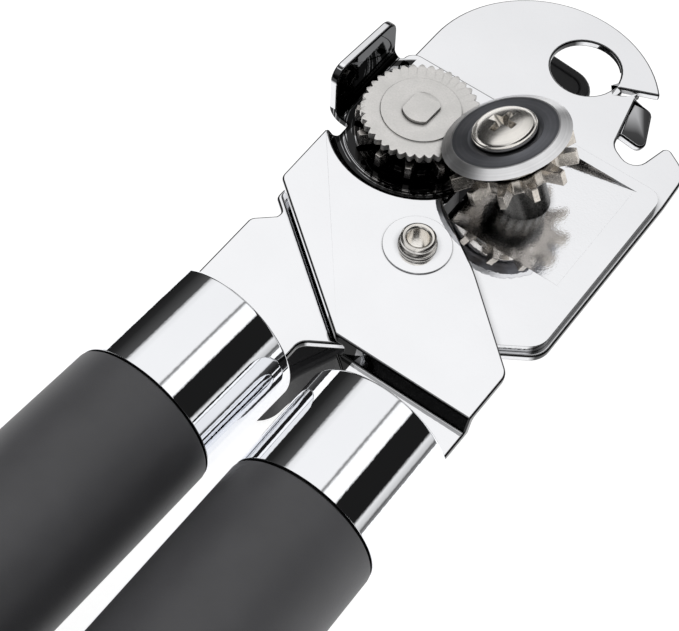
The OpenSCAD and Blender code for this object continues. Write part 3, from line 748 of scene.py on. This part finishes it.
def add_knob():
    origin, up = joint_axis("drive_spin")
    low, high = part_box("knob")
    place = Matrix.Translation(origin) @ Matrix.Rotation(KNOB_TURN, 4, "Z")
    shape = bmesh.new()
    loops = []
    rings = knob_rings(low.z)
    for inset, height, sagging in rings:
        loop = []
        for x, y in knob_outline(inset):
            sag = KNOB_SAG_RADIUS - math.sqrt(KNOB_SAG_RADIUS ** 2 - y ** 2) if sagging else 0
            loop.append(shape.verts.new((x, y, height + sag)))
        loops.append(loop)
    first_sagging = [sagging for *_, sagging in rings].index(True)
    count = len(loops[0])
    for index, (this, following) in enumerate(zip(loops, loops[1:]), 1):
        for k in range(count):
            j = (k + 1) % count
            face = shape.faces.new([this[k], this[j], following[j], following[k]])
            face.material_index = int(index == first_sagging)
    shape.faces.new(loops[0])
    shape.faces.new(loops[-1][::-1])
    body = finish_shape("knob_body", shape, place)
    face_shading(body)
    stand_for(body, "knob", "crank", "black_plastic")
    body.data.materials.append(MATERIALS["stippled_plastic"])

    hub = lathe("knob_hub", [
        (KNOB_BORE, KNOB_TOP - 1 * MM), (9.2 * MM, KNOB_TOP - 1 * MM), (8.9 * MM, KNOB_TOP + 0.2 * MM),
        (7.8 * MM, high.z - 0.3 * MM), (7.5 * MM, high.z), (KNOB_BORE, high.z)], place, 96)
    smooth_edges(hub, 0.25 * MM)
    stand_for(hub, "knob", "crank", "black_plastic")


# ---- CAD nodes that stay ---------------------------------------------------------------------------------

# Material and width of the rounded edges in mm, for each node that keeps its CAD mesh.
KEPT = {
    "upper_arm": ("chrome_drop", 0.36), "lower_arm": ("chrome_plate", 0.4),
    "cutter_plate": ("chrome_ramp", 0.42), "pivot_washer": ("chrome_washer", 0.05),
    "pivot_rivet": ("warm_steel", 0.05), "drive_wheel": ("matte_steel", 0.08),
    "drive_gear": ("bright_steel", 0.12), "cutter_gear": ("cutter_steel", 0.12),
    "drive_washer": ("matte_steel", 0.05), "drive_shaft": ("matte_steel", 0.12),
    "shaft_bushing": ("matte_steel", 0.1), "spring_washer": ("matte_steel", 0.06),
    "knob_screw": ("matte_steel", 0.08), "knob_cap": ("black_plastic", 0.15),
    # The stud and washer under the cutter gear carry painted shade.
    "cutter_washer": ("under_gear_shade_steel", 0.05), "cutter_stud": ("under_gear_shade_steel", 0.08),
    "left_core": ("core_plastic", 0.1), "right_core": ("core_plastic", 0.1),
}
SHEETS = ("upper_arm", "lower_arm", "cutter_plate")
FULL_WIDTH = ("upper_arm", "lower_arm")


def dress_kept_nodes():
    for name, (slot_name, edge) in KEPT.items():
        piece = frame["nodes"][name]
        paint(piece, slot_name)
        smooth_edges(piece, edge * MM, wide=name in SHEETS, clamp=name not in FULL_WIDTH)


# ---- light and floor -------------------------------------------------------------------------------------

# Brightness of the softbox and the dark studio by angle about the Y axis, from straight up (0) towards
# +X, in degrees.
BANDS = [
    (-180, 0.9), (-97, 0.8), (-94, 0.95), (-91, 0.012), (-75, 0.02), (-52, 0.08), (-47, 0.85), (-38, 0.96),
    (8, 0.96), (9.5, 0.3), (12, 0.3), (13.5, 1.1), (33, 1.15), (35, 0.012), (71, 0.012), (74, 0.85),
    (83, 0.6), (86, 0.09), (89, 0.25), (100, 0.3), (104, 0.6), (180, 0.9),
]
# Share of that brightness by the direction's Y component: the softbox hangs over the object and
# fades beyond it, and the near side of the studio is dark.
FADE = [(-1, 0.0), (-0.85, 0.1), (-0.7, 0.8), (-0.3, 1.0), (0.5, 1.0), (0.66, 0.86), (0.85, 0.6), (1, 0.35)]
STUDIO_DARK = (0.022, 0.021, 0.021, 1)


def add_light():
    world = bpy.data.worlds.new("tent")
    bpy.context.scene.world = world
    world.use_nodes = True
    tree = world.node_tree
    background = tree.nodes["Background"]
    direction = add(tree, "ShaderNodeTexCoord").outputs["Generated"]
    split = split_xyz(tree, direction)
    angle = math_node(tree, "ARCTAN2", split["X"], split["Z"])
    turn_share = math_node(tree, "ADD", math_node(tree, "DIVIDE", angle, 2 * math.pi), 0.5)
    bands = ramp(tree, turn_share, [((a + 180) / 360, shade) for a, shade in BANDS])
    y_share = math_node(tree, "ADD", math_node(tree, "MULTIPLY", split["Y"], 0.5), 0.5)
    fade = ramp(tree, y_share, [((y + 1) / 2, shade) for y, shade in FADE])
    tent = mix_colour(tree, fade, STUDIO_DARK, bands)
    path = add(tree, "ShaderNodeLightPath")
    seen = mix_colour(tree, path.outputs["Is Camera Ray"], tent, (1, 1, 1, 1))
    tree.links.new(seen, background.inputs["Color"])
    background.inputs["Strength"].default_value = 1.0


def add_floor():
    level = CAD_BOX[0][2] - 0.2 * MM
    half = 4000 * MM
    corners = [(-half, -half, level), (half, -half, level), (half, half, level), (-half, half, level)]
    mesh = bpy.data.meshes.new("floor")
    mesh.from_pydata(corners, [], [(0, 1, 2, 3)])
    floor = link("floor", mesh, Matrix.Identity(4))
    mat, tree, shader, coords = start_material("floor_white")
    shade = noise(tree, coords, 8, 2)
    tree.links.new(ramp(tree, shade, [(0.3, 0.36), (0.7, 0.38)]), shader.inputs["Base Color"])
    shader.inputs["Roughness"].default_value = 0.9
    shader.inputs["Emission Color"].default_value = (1, 1, 1, 1)
    shader.inputs["Emission Strength"].default_value = 0.9
    floor.data.materials.append(mat)


# ---- build -----------------------------------------------------------------------------------------------

add_camera()
add_light()
add_floor()
dress_kept_nodes()
add_handle("left", "lower_arm_body")
add_handle("right", "upper_arm_body")
add_cutter()
add_knob()
bpy.context.scene.view_settings.view_transform = "Standard"
